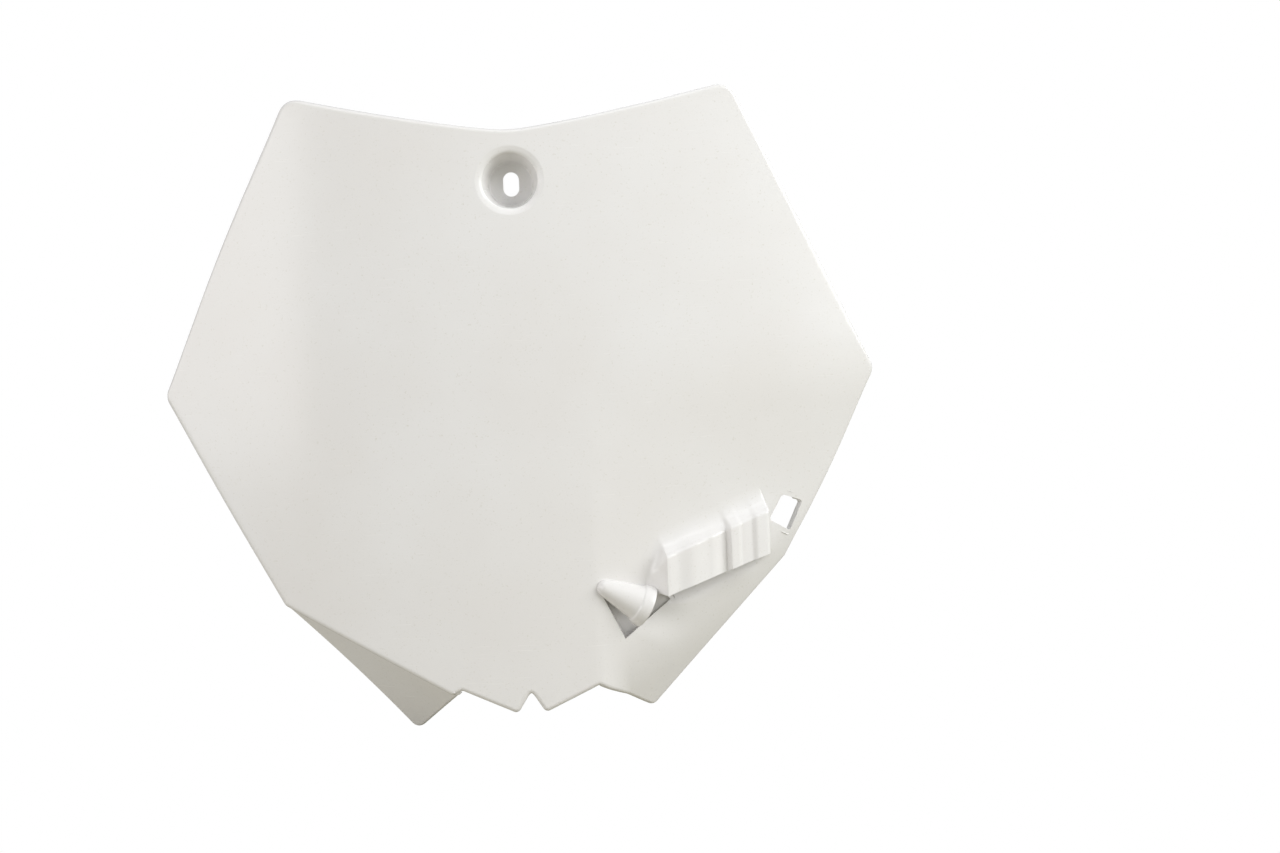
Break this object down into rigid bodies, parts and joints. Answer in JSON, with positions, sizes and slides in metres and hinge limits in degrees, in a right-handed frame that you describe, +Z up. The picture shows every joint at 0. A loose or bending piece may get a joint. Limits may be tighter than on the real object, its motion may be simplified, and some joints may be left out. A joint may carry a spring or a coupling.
{
  "type": "racing number board",
  "caption": "Bowed front number board for an off-road motorcycle, with a dished bolt slot, side wings, a hose hood, a wavy hose retainer and a strap window.",
  "frame": {"origin": "middle of the bolt slot, on the rear face of the cup floor", "axes": "-Y towards the viewer of the face, +Z up, +X to the right as seen from the front"},
  "size_m": [0.2902, 0.0351, 0.2576],
  "materials": {
    "board_plastic": "gloss"
  },
  "bodies": {
    "root": {"number_board": "board_plastic"}
  },
  "joints": []
}
